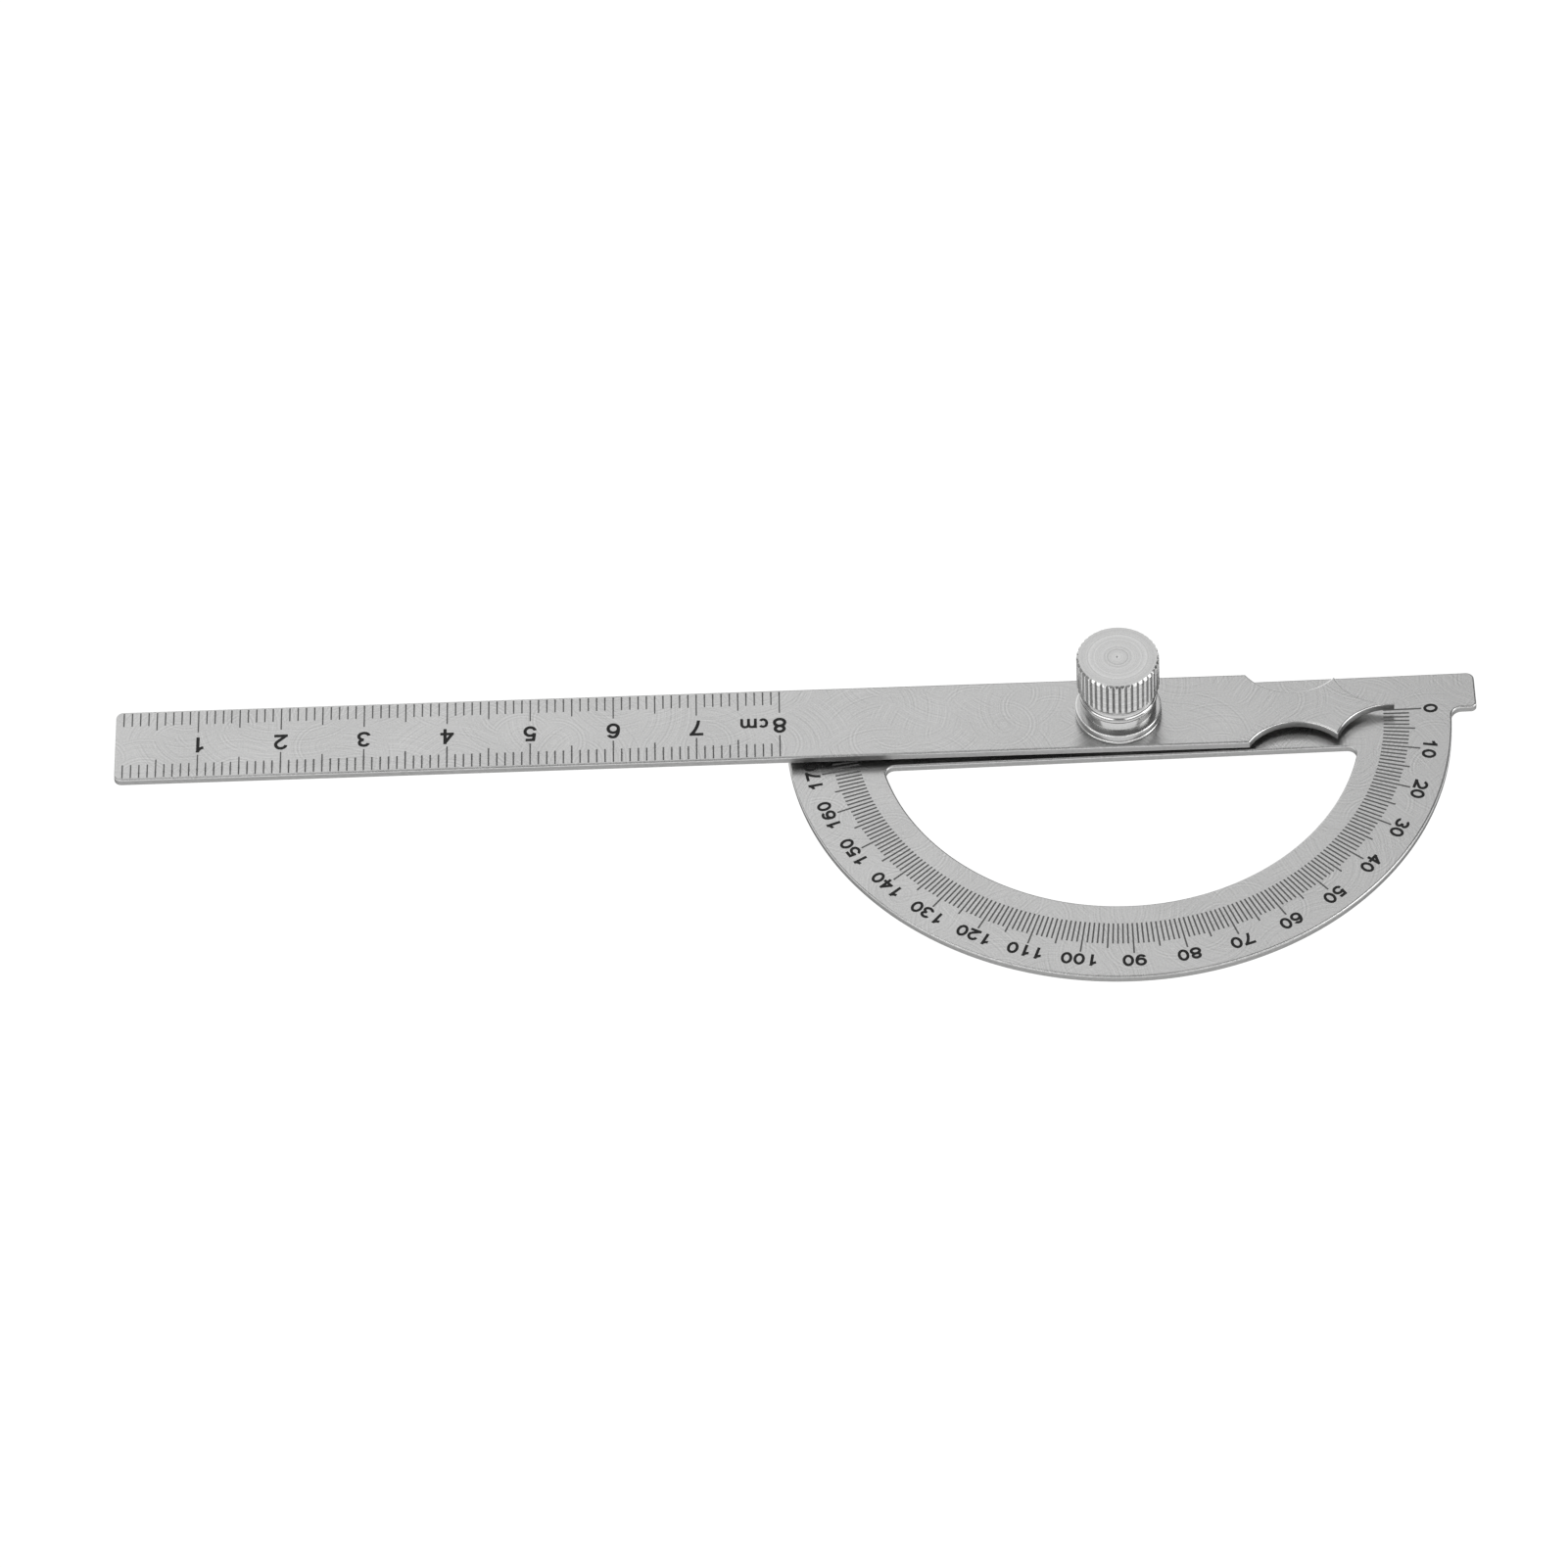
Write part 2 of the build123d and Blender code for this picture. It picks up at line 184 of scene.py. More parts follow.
def plate_outline():
    """The plate's rim, anticlockwise: half disc, tabs and straight back."""
    root = PLATE_RADIUS + TAB_ROOT_FILLET
    root_angle = -math.degrees(math.asin(TAB_ROOT_FILLET / root))
    root_centre = (root * math.cos(math.radians(root_angle)), -TAB_ROOT_FILLET)
    right = arc((0, 0), PLATE_RADIUS, -90, root_angle)
    right += arc(root_centre, TAB_ROOT_FILLET, 180 + root_angle, 90)
    lower_centre = (TAB_REACH - TAB_LOWER_CORNER, TAB_LOWER_CORNER)
    right += arc(lower_centre, TAB_LOWER_CORNER, -90, 0)
    top_centre = (TAB_REACH - TAB_TOP_CORNER, BAR_HALF_WIDTH - TAB_TOP_CORNER)
    right += arc(top_centre, TAB_TOP_CORNER, 0, 90)
    return without_repeats(right + mirror_across_x(right))


def opening_outline():
    """The half-moon opening, anticlockwise."""
    reach = OPENING_RADIUS - OPENING_CORNER
    level = -BAR_HALF_WIDTH - OPENING_CORNER
    angle = math.degrees(math.asin(level / reach))
    right = arc((0, 0), OPENING_RADIUS, -90, angle)
    right += arc((reach * math.cos(math.radians(angle)), level), OPENING_CORNER, angle, 90)
    return without_repeats(right + mirror_across_x(right))


def arm_outline():
    """The rule and its pointer, anticlockwise, drawn along X."""
    def below(point):
        return (point[0], -point[1])

    end = ARM_RULE_END + ARM_END_CORNER
    side = ARM_HALF_WIDTH - ARM_END_CORNER
    points = arc((end, -side), ARM_END_CORNER, 180, 270)
    points += arc_through(below(SCALLOP_START), below(SCALLOP_MIDDLE), below(CUSP))
    points += arc_through(below(CUSP), below(TAPER_MIDDLE), below(TIP))
    points.append(Vector(below(TIP)))
    points += arc_through(TIP, TAPER_MIDDLE, CUSP)
    points += arc_through(CUSP, SCALLOP_MIDDLE, SCALLOP_START)
    points.append(Vector(SCALLOP_START))
    points += arc((end, side), ARM_END_CORNER, 90, 180)
    return without_repeats(points)


def circle(radius):
    angles = (2 * math.pi * i / CIRCLE_STEPS for i in range(CIRCLE_STEPS))
    return [Vector((radius * math.cos(a), radius * math.sin(a))) for a in angles]


def inset(points, distance, narrow_tip):
    """Move a loop's points to their left, which is into the metal on an anticlockwise rim. They
    move less beside a narrow tip."""
    moved = []
    for i, point in enumerate(points):
        ahead = (points[(i + 1) % len(points)] - point).normalized()
        behind = (point - points[i - 1]).normalized()
        left = Vector((-ahead.y - behind.y, ahead.x + behind.x)).normalized()
        stretch = max(LEAST_STRETCH, left.dot(Vector((-ahead.y, ahead.x))))
        step = distance
        if narrow_tip and point.x > TAPER_MIDDLE[0]:
            step = min(distance, TIP_EDGE_SHARE * abs(point.y))
        moved.append(point + left * step / stretch)
    return moved


def rounded_wall(bottom, top):
    """(inset, height) pairs up a sheet's cut edge, rounded at both ends."""
    quarter = [math.pi / 2 * i / EDGE_STEPS for i in range(EDGE_STEPS + 1)]
    lower, upper = LOWER_EDGE_ROUND, TOP_EDGE_ROUND
    rows = []
    for t in reversed(quarter):
        rows.append((lower - lower * math.cos(t), bottom + lower - lower * math.sin(t)))
    for t in quarter:
        rows.append((upper - upper * math.cos(t), top - upper + upper * math.sin(t)))
    return rows


# --- Meshes -------------------------------------------------------------------------------

def finish_mesh(name, bm, body, replaced):
    """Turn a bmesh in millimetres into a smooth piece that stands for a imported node."""
    bmesh.ops.recalc_face_normals(bm, faces=bm.faces)
    bmesh.ops.scale(bm, vec=(MM, MM, MM), verts=bm.verts)
    for face in bm.faces:
        face.smooth = True
    for edge in bm.edges:
        if len(edge.link_faces) == 2 and edge.calc_face_angle() > SMOOTH_LIMIT:
            edge.smooth = False
    mesh = bpy.data.meshes.new(name)
    bm.to_mesh(mesh)
    bm.free()
    piece = bpy.data.objects.new(name, mesh)
    scene.collection.objects.link(piece)
    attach(piece, body)
    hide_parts(replaced)
    return piece


def edge_finish(row, next_row):
    """The number of an edge row's material: 1 upright, 2 rounded, 3 rounded and steep."""
    run = abs(next_row[0] - row[0])
    rise = abs(next_row[1] - row[1])
    if run == 0:
        return 1
    return 3 if rise > STEEP_SLOPE * run else 2


def is_top_edge(face):
    """True on an edge's rounded upper part, which is neither upright nor flat."""
    return UPRIGHT_LIMIT < face.normal.z < FLAT_LIMIT


def sheet(bm, walls, narrow_tip=False):
    """A flat sheet from (loop, wall rows) pairs: the rim first, then its holes. Flat faces get
    the first material, and edge_finish picks the others."""
    caps = ([], [])
    for loop, rows in walls:
        rings = []
        for distance, height in rows:
            moved = inset(loop, distance, narrow_tip)
            rings.append([bm.verts.new((p.x, p.y, height)) for p in moved])
        for row, (lower, upper) in enumerate(zip(rings, rings[1:])):
            finish = edge_finish(rows[row], rows[row + 1])
            for i in range(len(loop)):
                face = bm.faces.new((lower[i - 1], lower[i], upper[i], upper[i - 1]))
                face.material_index = finish
        caps[0].append(rings[0])
        caps[1].append(rings[-1])
    for cap in caps:
        verts = [v for ring in cap for v in ring]
        for triangle in tessellate_polygon([[v.co for v in ring] for ring in cap]):
            bm.faces.new([verts[i] for i in triangle])
        for ring in cap:
            for i in range(len(ring)):
                bm.edges.get((ring[i - 1], ring[i])).smooth = False


def lathe(bm, profile, turns, radius_at):
    """Spin a profile of (radius, height) points through turns, a list of angles in radians.
    radius_at(radius, height, column) gives the radius at one angle, so it can cut into the round."""
    columns = len(turns)
    rings = []
    for radius, height in profile:
        if radius == 0:
            rings.append([bm.verts.new((0, 0, height))])
            continue
        ring = []
        for column, turn in enumerate(turns):
            r = radius_at(radius, height, column)
            ring.append(bm.verts.new((r * math.cos(turn), r * math.sin(turn), height)))
        rings.append(ring)
    if len(rings[0]) > 1:
        rings.append(rings[0])
    for a, b in zip(rings, rings[1:]):
        for i in range(columns):
            corners = [a[i - 1], a[i]] if len(a) > 1 else [a[0]]
            corners += [b[i], b[i - 1]] if len(b) > 1 else [b[0]]
            bm.faces.new(corners)


def even_turns(columns):
    return [2 * math.pi * i / columns for i in range(columns)]


def bend(centre, radius, start, end):
    """Part of a profile: an arc of EDGE_STEPS steps between two angles in degrees."""
    steps = (math.radians(start + (end - start) * i / EDGE_STEPS) for i in range(EDGE_STEPS + 1))
    return [(centre[0] + radius * math.cos(t), centre[1] + radius * math.sin(t)) for t in steps]


def bead(low, high):
    """Part of a profile: a band that bulges from the valley radius to the bead radius."""
    points = []
    for i in range(2 * EDGE_STEPS + 1):
        across = i / EDGE_STEPS - 1
        bulge = (BEAD_RADIUS - BEAD_VALLEY_RADIUS) * (1 - across * across)
        points.append((BEAD_VALLEY_RADIUS + bulge, (low + high) / 2 + across * (high - low) / 2))
    return points


def build_plate():
    bm = bmesh.new()
    rows = rounded_wall(PLATE_BOTTOM, PLATE_TOP)
    stud_wall = [
        (STUD_HEAD_RADIUS - SHOULDER_RADIUS, PLATE_BOTTOM),
        (0, PLATE_BOTTOM + STUD_HEAD_DEPTH),
        (0, PLATE_TOP),
    ]
    opening = list(reversed(opening_outline()))
    stud_hole = list(reversed(circle(SHOULDER_RADIUS)))
    sheet(bm, [(plate_outline(), rows), (opening, rows), (stud_hole, stud_wall)])
    return finish_mesh("scale_plate", bm, "plate", "protractor_plate")


def build_arm():
    """The arm. Only the pointer's rounded edges have a finish of their own, with a painted highlight.
    """
    bm = bmesh.new()
    hole = list(reversed(circle(SHOULDER_HOLE)))
    hole_wall = [(0, ARM_BOTTOM), (0, ARM_TOP)]
    sheet(bm, [(arm_outline(), rounded_wall(ARM_BOTTOM, ARM_TOP)), (hole, hole_wall)], narrow_tip=True)
    for face in bm.faces:
        if face.material_index > 1 and face.calc_center_median().x < SCALLOP_START[0]:
            face.material_index = 0
    turn = Matrix.Rotation(math.radians(-ARM_READING), 3, "Z")
    bmesh.ops.rotate(bm, verts=bm.verts, cent=(0, 0, 0), matrix=turn)
    return finish_mesh("rule_arm", bm, "arm", "ruler_arm")


def build_washer():
    bm = bmesh.new()
    inner = WASHER_RADIUS - WASHER_EDGE
    profile = [(WASHER_HOLE, WASHER_TOP), (WASHER_HOLE, WASHER_BOTTOM)]
    profile += bend((inner, WASHER_BOTTOM + WASHER_EDGE), WASHER_EDGE, -90, 0)
    profile += bend((inner, WASHER_TOP - WASHER_EDGE), WASHER_EDGE, 0, 90)
    lathe(bm, profile, even_turns(WASHER_STEPS), lambda radius, height, column: radius)
    bm.normal_update()
    for face in bm.faces:
        face.material_index = int(is_top_edge(face))
    return finish_mesh("thin_washer", bm, "washer", "flat_washer")


def nut_profile():
    """The thumb nut's half section, from the roof of its bore round to the top's middle."""
    profile = [(0, NUT_BORE_DEPTH), (NUT_BORE_RADIUS, NUT_BORE_DEPTH), (NUT_BORE_RADIUS, 0)]
    rim = FLANGE_RADIUS - FLANGE_EDGE
    profile += bend((rim, FLANGE_EDGE), FLANGE_EDGE, -90, 0)
    profile += bend((rim, FLANGE_HEIGHT - FLANGE_EDGE), FLANGE_EDGE, 0, 90)
    profile += [(NECK_RADIUS, FLANGE_HEIGHT), (NECK_RADIUS, BEAD_LEVELS[0])]
    for low, high in zip(BEAD_LEVELS, BEAD_LEVELS[1:]):
        profile += bead(low, high)
    profile += [(BEAD_VALLEY_RADIUS, COLLAR_HEIGHT), (HEAD_RADIUS - HEAD_LOWER_CHAMFER, COLLAR_HEIGHT)]
    profile += [(HEAD_RADIUS, COLLAR_HEIGHT + HEAD_LOWER_CHAMFER)]
    profile += [(HEAD_RADIUS, NUT_HEIGHT - HEAD_CHAMFER)]
    for i in range(1, EDGE_STEPS + 1):
        drop = HEAD_CHAMFER * i / EDGE_STEPS
        profile.append((HEAD_RADIUS - drop, NUT_HEIGHT - HEAD_CHAMFER + drop))
    profile += [(DIMPLE_RADIUS, NUT_HEIGHT), (0, NUT_HEIGHT - DIMPLE_DEPTH)]
    return [(radius, NUT_BOTTOM + height) for radius, height in profile]


def nut_finish(face):
    """The number of a nut face's material: 0 turned, 1 knurl groove with painted shade, 2 faced top,
    3 dull flange with painted shade, 4 flange edge with a painted highlight."""
    middle = face.calc_center_median()
    height = middle.z - NUT_BOTTOM
    reach = middle.xy.length
    upright = abs(face.normal.z) < UPRIGHT_LIMIT
    if upright and height > COLLAR_HEIGHT and reach < HEAD_RADIUS - GROOVE_MOUTH_DEPTH:
        return 1
    if not upright and height > NUT_HEIGHT - DIMPLE_DEPTH and reach < HEAD_RADIUS - HEAD_CHAMFER:
        return 2
    if height < FLANGE_HEIGHT:
        return 4 if is_top_edge(face) else 3
    return 0


def build_nut():
    turns = []
    cuts = []
    for knurl in range(KNURL_COUNT):
        for offset, cut in KNURL_SHAPE:
            turns.append(2 * math.pi * knurl / KNURL_COUNT + offset / HEAD_RADIUS)
            cuts.append(cut)

    def knurled(radius, height, column):
        if height < NUT_BOTTOM + COLLAR_HEIGHT or radius < BEAD_RADIUS:
            return radius
        return min(radius, HEAD_RADIUS - cuts[column])

    bm = bmesh.new()
    lathe(bm, nut_profile(), turns, knurled)
    bm.normal_update()
    for face in bm.faces:
        face.material_index = nut_finish(face)
    return finish_mesh("knurled_nut", bm, "nut", "thumb_nut")


# --- Materials ----------------------------------------------------------------------------

STEEL_TONE = 0.6
STEEL_ROUGHNESS = 0.27
TURNED_ROUGHNESS = 0.16
FACED_ROUGHNESS = 0.24
DULL_ROUGHNESS = 0.28
# Cut edges are darkened with painted shade
EDGE_SHADE_TONE = 0.34
# A painted highlight on some rounded edges
HIGHLIGHT_EDGE_TONE = 0.86
TURNED_TONE = 0.56
FACED_TONE = 0.66
# Dull steel is darkened with painted shade
DULL_SHADE_TONE = 0.43
# Knurl grooves are darkened with painted shade
GROOVE_SHADE_TONE = 0.28
LINE_TONE = 0.13
NUMERAL_TONE = 0.02

ARC_PATCH = 6.5 * MM
ARC_WANDER = 15 * MM
ARC_SPACING = 0.24 * MM
GRAIN_SIZE = 0.22 * MM
CLOUD_SIZE = 9 * MM
TURNING_SPACING = 0.2 * MM
BAND_SPACING = 5 * TURNING_SPACING

# The share of a patch over which its arcs fade in from the seam
SEAM_WIDTH = 0.15

# Patterns lie about the middle of 0 to 1, and mostly between these two
PATTERN_MIDDLE = 0.5
PATTERN_LOW = 0.3
PATTERN_HIGH = 0.7

# Blue over red and green in a grey
BLUE_SHARE = 0.995


def new_material(name, **fixed):
    """A Principled material, with the sockets that are the same all over it."""
    material = bpy.data.materials.new(name)
    material.use_nodes = True
    shader = material.node_tree.nodes["Principled BSDF"]
    for socket, value in fixed.items():
        shader.inputs[socket.replace("_", " ")].default_value = value
    return material, material.node_tree, shader


def add(tree, kind, inputs, **settings):
    """Add a node. Each input is a value, or the socket that feeds it."""
    node = tree.nodes.new("ShaderNode" + kind)
    for key, value in settings.items():
        setattr(node, key, value)
    for key, value in inputs.items():
        if isinstance(value, bpy.types.NodeSocket):
            tree.links.new(value, node.inputs[key])
        else:
            node.inputs[key].default_value = value
    return node


def vector_math(tree, operation, first, second):
    return add(tree, "VectorMath", {0: first, 1: second}, operation=operation).outputs[0]


def place_on(tree):
    """Where a point is on the part."""
    return add(tree, "TexCoord", {}).outputs["Object"]


def flat_place(tree):
    """Where a point is across the part, with its height left out."""
    return vector_math(tree, "MULTIPLY", place_on(tree), (1, 1, 0))


def noise(tree, place, size, detail=2.0):
    return add(tree, "TexNoise", {"Vector": place, "Scale": 1 / size, "Detail": detail}).outputs["Fac"]


def swept_arcs(tree, place, shift):
    """Fine arcs as a turning pad leaves them: rings whose centre changes from patch to patch."""
    moved = vector_math(tree, "ADD", place, (shift, -shift, 0))
    cells = {"Vector": moved, "Scale": 1 / ARC_PATCH}
    patch = add(tree, "TexVoronoi", cells, voronoi_dimensions="2D")
    sideways = vector_math(tree, "SUBTRACT", patch.outputs["Color"], (PATTERN_MIDDLE,) * 3)
    sideways = vector_math(tree, "MULTIPLY", sideways, (ARC_WANDER, ARC_WANDER, 0))
    centre = vector_math(tree, "ADD", patch.outputs["Position"], sideways)
    away = add(tree, "VectorMath", {0: moved, 1: centre}, operation="DISTANCE")
    fine = {"W": away.outputs["Value"], "Scale": 1 / ARC_SPACING, "Detail": 1.0}
    rings = add(tree, "TexNoise", fine, noise_dimensions="1D").outputs["Fac"]
    seams = add(tree, "TexVoronoi", cells, voronoi_dimensions="2D", feature="DISTANCE_TO_EDGE")
    border = {"Value": seams.outputs["Distance"], "From Max": SEAM_WIDTH}
    fade = add(tree, "MapRange", border).outputs["Result"]
    swing = add(tree, "Math", {0: rings, 1: PATTERN_MIDDLE}, operation="SUBTRACT").outputs[0]
    kept = {0: swing, 1: fade, 2: PATTERN_MIDDLE}
    return add(tree, "Math", kept, operation="MULTIPLY_ADD").outputs[0]


def average(tree, parts):
    """The weighted sum of (socket, weight) pairs."""
    total = 0.0
    for socket, weight in parts:
        sum_inputs = {0: socket, 1: weight, 2: total}
        total = add(tree, "Math", sum_inputs, operation="MULTIPLY_ADD").outputs[0]
    return total


def tint(tree, shader, pattern, tone, swing, spread=0.2):
    """Let a pattern lighten and darken a grey tone by a share of it, the swing."""
    ramp = add(tree, "ValToRGB", {"Fac": pattern})
    for element, side in zip(ramp.color_ramp.elements, (-1, 1)):
        element.position = PATTERN_MIDDLE + spread * side
        grey = tone * (1 + swing * side)
        element.color = (grey, grey, grey * BLUE_SHARE, 1)
    tree.links.new(ramp.outputs["Color"], shader.inputs["Base Color"])


def roughen(tree, shader, pattern, low, high):
    """Let a pattern take the roughness from low to high."""
    limits = {"Value": pattern, "From Min": PATTERN_LOW, "From Max": PATTERN_HIGH}
    limits.update({"To Min": low, "To Max": high})
    tree.links.new(add(tree, "MapRange", limits).outputs["Result"], shader.inputs["Roughness"])


def emboss(tree, shader, pattern, depth):
    bump = add(tree, "Bump", {"Height": pattern, "Distance": depth, "Strength": 1.0})
    tree.links.new(bump.outputs["Normal"], shader.inputs["Normal"])


def satin_steel():
    """Sheet steel finished with a turning pad: faint crossed arcs, fine grain and soft clouds."""
    material, tree, shader = new_material("satin_steel", Metallic=1.0)
    place = flat_place(tree)
    first_arcs = swept_arcs(tree, place, shift=0.31)
    second_arcs = swept_arcs(tree, place, shift=0.77)
    arcs = average(tree, [(first_arcs, 0.5), (second_arcs, 0.5)])
    grain = noise(tree, place, GRAIN_SIZE)
    clouds = noise(tree, place, CLOUD_SIZE)
    pattern = average(tree, [(arcs, 0.5), (grain, 0.3), (clouds, 0.2)])
    tint(tree, shader, pattern, STEEL_TONE, swing=0.2, spread=0.15)
    roughen(tree, shader, clouds, low=STEEL_ROUGHNESS - 0.02, high=STEEL_ROUGHNESS + 0.03)
    emboss(tree, shader, average(tree, [(arcs, 0.6), (grain, 0.4)]), depth=0.0015 * MM)
    return material


def cut_edge():
    """The sheared and ground edge of a sheet, rougher and grained along the cut. Its dark tone is
    painted shade.
    """
    glancing_shade = (0.25, 0.25, 0.25, 1)
    material, tree, shader = new_material("cut_edge", Metallic=1.0, Specular_Tint=glancing_shade)
    along = vector_math(tree, "MULTIPLY", place_on(tree), (1, 1, 4))
    grain = noise(tree, along, size=0.5 * MM, detail=4.0)
    tint(tree, shader, grain, EDGE_SHADE_TONE, swing=0.16)
    roughen(tree, shader, grain, low=0.34, high=0.46)
    emboss(tree, shader, grain, depth=0.004 * MM)
    return material


def painted_highlight_edge():
    """A rounded edge in a lighter, smoother copy of the steel: the lighter tone is a painted
    highlight.
    """
    material, tree, shader = new_material("painted_highlight_edge", Metallic=1.0)
    grain = noise(tree, place_on(tree), GRAIN_SIZE)
    tint(tree, shader, grain, HIGHLIGHT_EDGE_TONE, swing=0.08)
    roughen(tree, shader, grain, low=0.16, high=0.24)
    return material


def turned_steel(name, tone, roughness):
    """Steel with fine turning rings round the pivot axis."""
    material, tree, shader = new_material(name, Metallic=1.0)
    place = place_on(tree)
    reach = add(tree, "VectorMath", {0: flat_place(tree)}, operation="LENGTH").outputs["Value"]
    height = add(tree, "SeparateXYZ", {0: place}).outputs["Z"]
    travel = add(tree, "Math", {0: reach, 1: height}, operation="SUBTRACT").outputs[0]
    fine = {"W": travel, "Scale": 1 / TURNING_SPACING, "Detail": 2.0}
    rings = add(tree, "TexNoise", fine, noise_dimensions="1D").outputs["Fac"]
    broad = {"W": travel, "Scale": 1 / BAND_SPACING, "Detail": 1.0}
    bands = add(tree, "TexNoise", broad, noise_dimensions="1D").outputs["Fac"]
    grain = noise(tree, place, GRAIN_SIZE)
    pattern = average(tree, [(rings, 0.45), (bands, 0.35), (grain, 0.2)])
    tint(tree, shader, pattern, tone, swing=0.2, spread=0.15)
    roughen(tree, shader, pattern, low=roughness - 0.04, high=roughness + 0.04)
    emboss(tree, shader, average(tree, [(rings, 0.5), (bands, 0.5)]), depth=0.0015 * MM)
    return material


def shaded_knurl_groove():
    """The floor and flanks of a knurl: dull, and darkened with painted shade."""
    material, tree, shader = new_material("shaded_knurl_groove", Metallic=1.0)
    shade_noise = noise(tree, place_on(tree), size=0.3 * MM, detail=4.0)
    tint(tree, shader, shade_noise, GROOVE_SHADE_TONE, swing=0.35)
    roughen(tree, shader, shade_noise, low=0.32, high=0.5)
    emboss(tree, shader, shade_noise, depth=0.003 * MM)
    return material


def etched(name, tone, swing):
    """Etched and blackened marks, a little uneven, as the steel shows through."""
    material, tree, shader = new_material(name, Metallic=0.0, Specular_IOR_Level=0.25)
    speckle = noise(tree, place_on(tree), size=0.09 * MM, detail=3.0)
    tint(tree, shader, speckle, tone, swing)
    roughen(tree, shader, speckle, low=0.5, high=0.7)
    emboss(tree, shader, speckle, depth=0.002 * MM)
    return material


def paint(holder, *materials):
    """Fill the material slots in order, so that each face keeps its material number."""
    slots = holder.data.materials
    for number, material in enumerate(materials):
        if number < len(slots):
            slots[number] = material
        else:
            slots.append(material)


def paint_nodes(names, material):
    for name in names:
        paint(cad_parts[name], material)


# --- Floor, light and camera --------------------------------------------------------------

AZIMUTH = 0.618
ELEVATION = 48.769
ROLL = -2.996
LENS = 226.458
DISTANCE = 1180.79 * MM
AIM = (-40.46 * MM, -7.56 * MM)

CAMERA_RANGE = 10

# The floor stays just clear of the plate's underside
FLOOR_GAP = 0.05 * MM
FLOOR_HALF_SIZE = 3
FLOOR_TONE = 0.12
FLOOR_GLOW = 0.98

ROOM_TONE = 0.25

# The room is lighter to the left and darker to the right by this share of its tone
ROOM_TILT = 0.5

SOFTBOX_REACH = 1.1


def add_camera():
    """A long lens that looks down at the plate from in front, rolled a little."""
    turn, rise, roll = (math.radians(a) for a in (AZIMUTH, ELEVATION, ROLL))
    back = Vector((math.sin(turn) * math.cos(rise), -math.cos(turn) * math.cos(rise), math.sin(rise)))
    right = Vector((math.cos(turn), math.sin(turn), 0))
    up = back.cross(right)
    across = math.cos(roll) * right + math.sin(roll) * up
    upward = math.cos(roll) * up - math.sin(roll) * right
    target = Vector((AIM[0], AIM[1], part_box("protractor_plate")[1].z))
    data = bpy.data.cameras.new("camera")
    data.lens = LENS
    data.clip_end = CAMERA_RANGE
    camera = bpy.data.objects.new("camera", data)
    turned = Matrix((across, upward, back)).transposed().to_4x4()
    camera.matrix_world = Matrix.Translation(target + back * DISTANCE) @ turned
    scene.collection.objects.link(camera)
    scene.camera = camera


def add_floor():
    """A white light table under the tool."""
    bm = bmesh.new()
    bmesh.ops.create_grid(bm, x_segments=1, y_segments=1, size=FLOOR_HALF_SIZE)
    mesh = bpy.data.meshes.new("floor")
    bm.to_mesh(mesh)
    bm.free()
    floor = bpy.data.objects.new("floor", mesh)
    floor.location.z = -FLOOR_GAP
    scene.collection.objects.link(floor)
    grey = (FLOOR_TONE, FLOOR_TONE, FLOOR_TONE, 1)
    glow = {"Emission_Color": (1, 1, 1, 1), "Emission_Strength": FLOOR_GLOW}
    dull = {"Base_Color": grey, "Roughness": 0.9, "Specular_IOR_Level": 0.0}
    paint(floor, new_material("floor", **dull, **glow)[0])


def add_softbox(name, azimuth, elevation, width, height, radiance):
    """A rectangle of even light that faces the pivot. Azimuth is counted from the front, to the
    right, and a radiance of 1 shows as white."""
    turn, rise = math.radians(azimuth), math.radians(elevation)
    away = Vector((math.sin(turn) * math.cos(rise), -math.cos(turn) * math.cos(rise), math.sin(rise)))
    data = bpy.data.lights.new(name, "AREA")
    data.shape = "RECTANGLE"
    data.size = width
    data.size_y = height
    data.energy = radiance * math.pi * width * height
    light = bpy.data.objects.new(name, data)
    light.location = away * SOFTBOX_REACH
    light.rotation_euler = away.to_track_quat("Z", "Y").to_euler()
    scene.collection.objects.link(light)


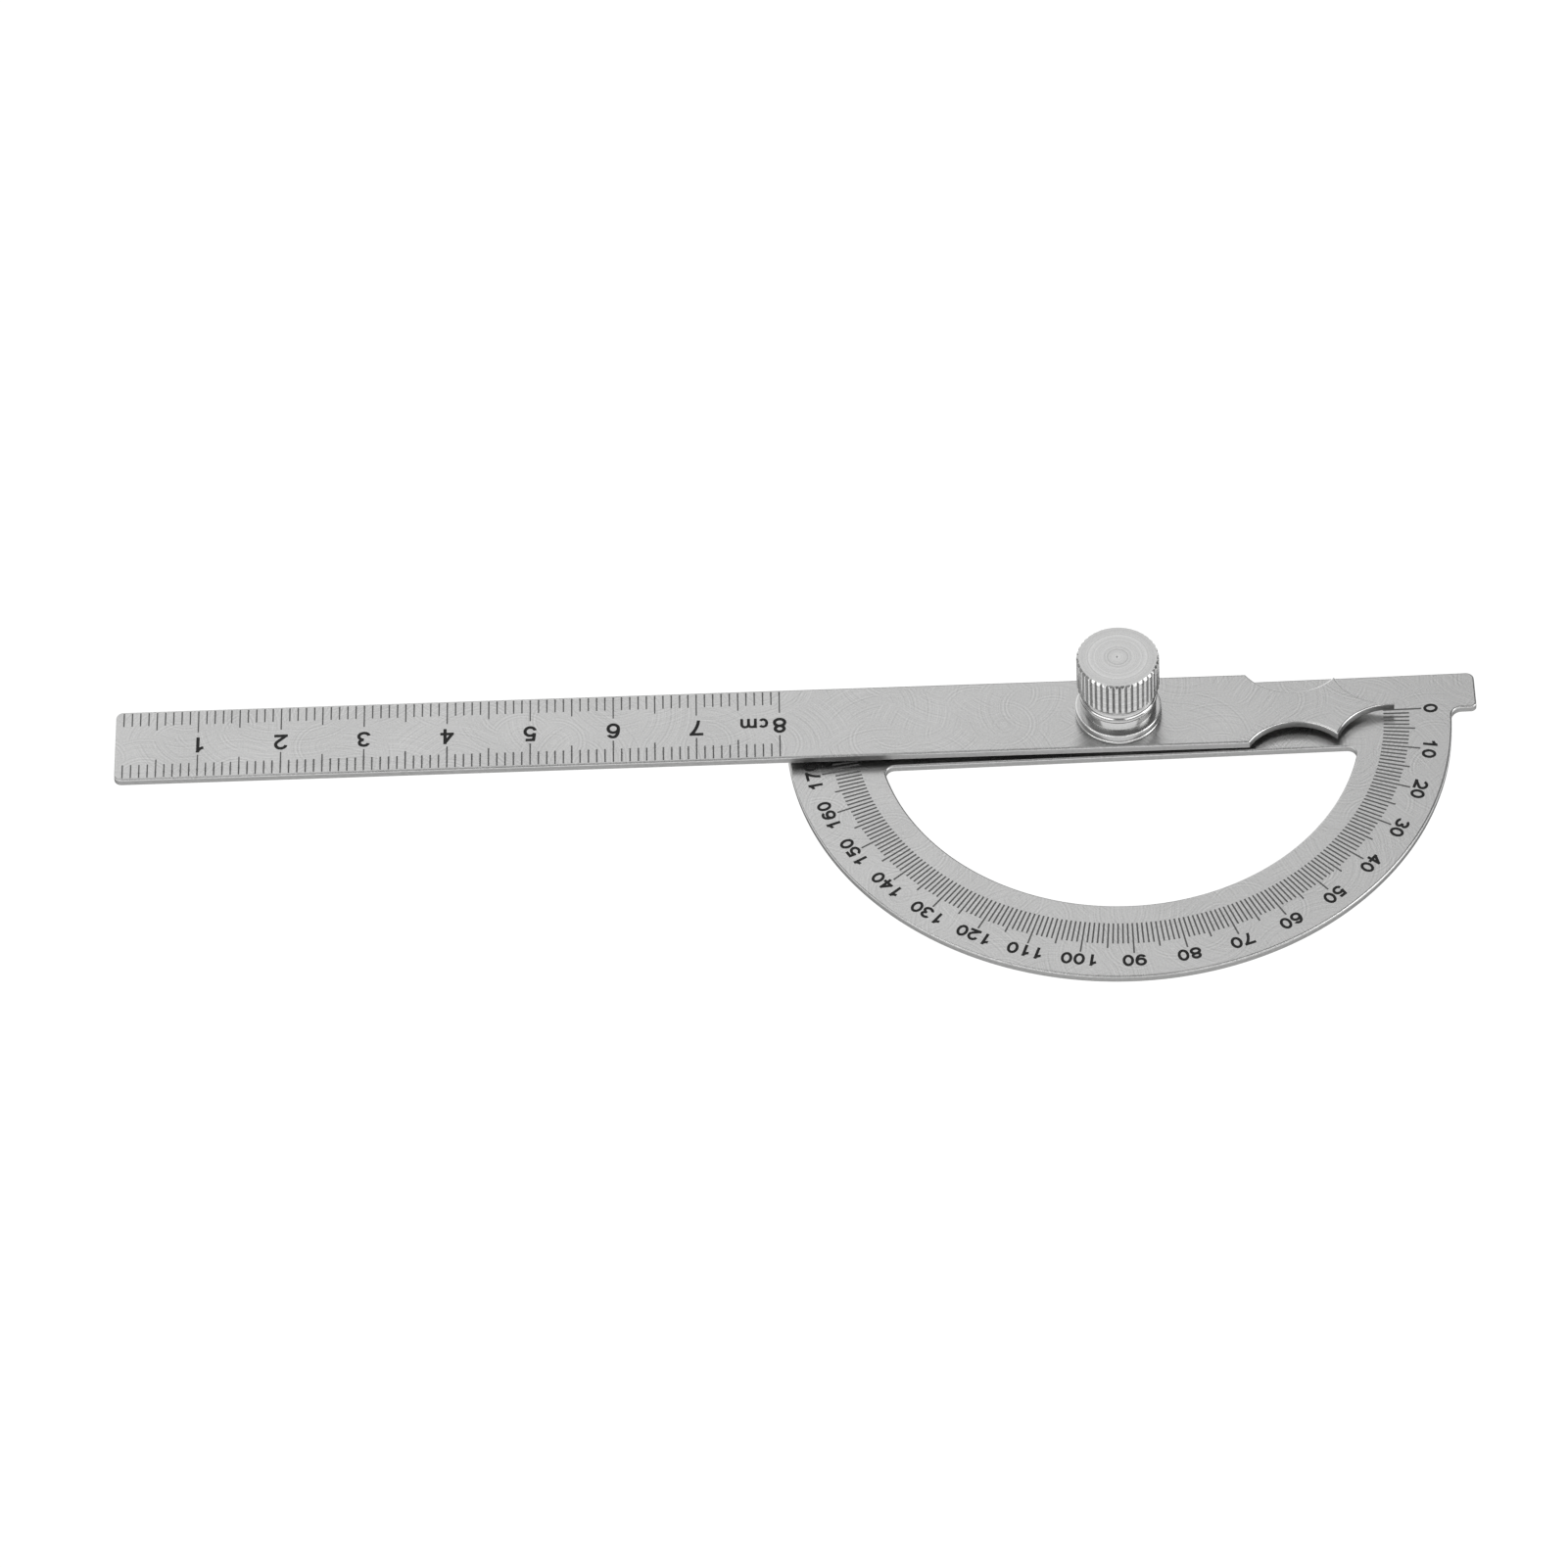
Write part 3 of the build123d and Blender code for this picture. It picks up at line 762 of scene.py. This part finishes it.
def add_world():
    """A dim room, a little darker to the right."""
    world = bpy.data.worlds.new("room")
    world.use_nodes = True
    tree = world.node_tree
    direction = add(tree, "TexCoord", {}).outputs["Generated"]
    side = add(tree, "SeparateXYZ", {0: direction}).outputs["X"]
    spread = {"Value": side, "From Min": -1.0, "From Max": 1.0}
    spread["To Min"] = (1 + ROOM_TILT) * ROOM_TONE
    spread["To Max"] = (1 - ROOM_TILT) * ROOM_TONE
    level = add(tree, "MapRange", spread).outputs["Result"]
    background = tree.nodes["Background"]
    background.inputs["Color"].default_value = (1, 1, 1, 1)
    tree.links.new(level, background.inputs["Strength"])
    scene.world = world


def add_lights():
    """Softboxes behind, to the sides, above and low in front. The gap in front, between the left
    and right ones, leaves turned parts darker in the middle."""
    add_softbox("back_softbox", azimuth=207, elevation=42, width=1.1, height=1.48, radiance=0.68)
    add_softbox("left_softbox", azimuth=-47, elevation=30, width=1.12, height=0.36, radiance=1.9)
    add_softbox("right_softbox", azimuth=47, elevation=30, width=1.12, height=0.36, radiance=1.9)
    add_softbox("side_softbox", azimuth=80, elevation=24, width=0.55, height=0.9, radiance=2.0)
    add_softbox("top_softbox", azimuth=0, elevation=78, width=0.9, height=0.45, radiance=0.6)
    add_softbox("low_softbox", azimuth=0, elevation=10, width=0.7, height=0.38, radiance=0.4)


add_camera()
add_floor()
add_world()
add_lights()
scene.view_settings.view_transform = "Standard"


# --- The protractor -----------------------------------------------------------------------

satin = satin_steel()
edge = cut_edge()
highlight_paint = painted_highlight_edge()
turned = turned_steel("turned_steel", TURNED_TONE, TURNED_ROUGHNESS)
faced = turned_steel("faced_steel", FACED_TONE, FACED_ROUGHNESS)
# Dull steel is rougher, and its darker tone is painted shade on the flange and washer
dull = turned_steel("dull_shaded_steel", DULL_SHADE_TONE, DULL_ROUGHNESS)
etched_line = etched("etched_line", LINE_TONE, swing=0.25)
etched_numeral = etched("etched_numeral", NUMERAL_TONE, swing=0.4)

# Painted light: shade on cut edges, flange, washer and knurl grooves; highlights on some rounded edges
paint(build_plate(), satin, edge, satin, satin)
paint(build_arm(), satin, edge, highlight_paint, edge)
paint(build_washer(), dull, highlight_paint)
paint(build_nut(), turned, shaded_knurl_groove(), faced, dull, highlight_paint)
paint_nodes(["pivot_stud", "spacer_washer"], turned)
paint_nodes(["degree_graduations", "ruler_graduations"], etched_line)
paint_nodes(["degree_numerals", "ruler_numerals", "ruler_unit_mark"], etched_numeral)
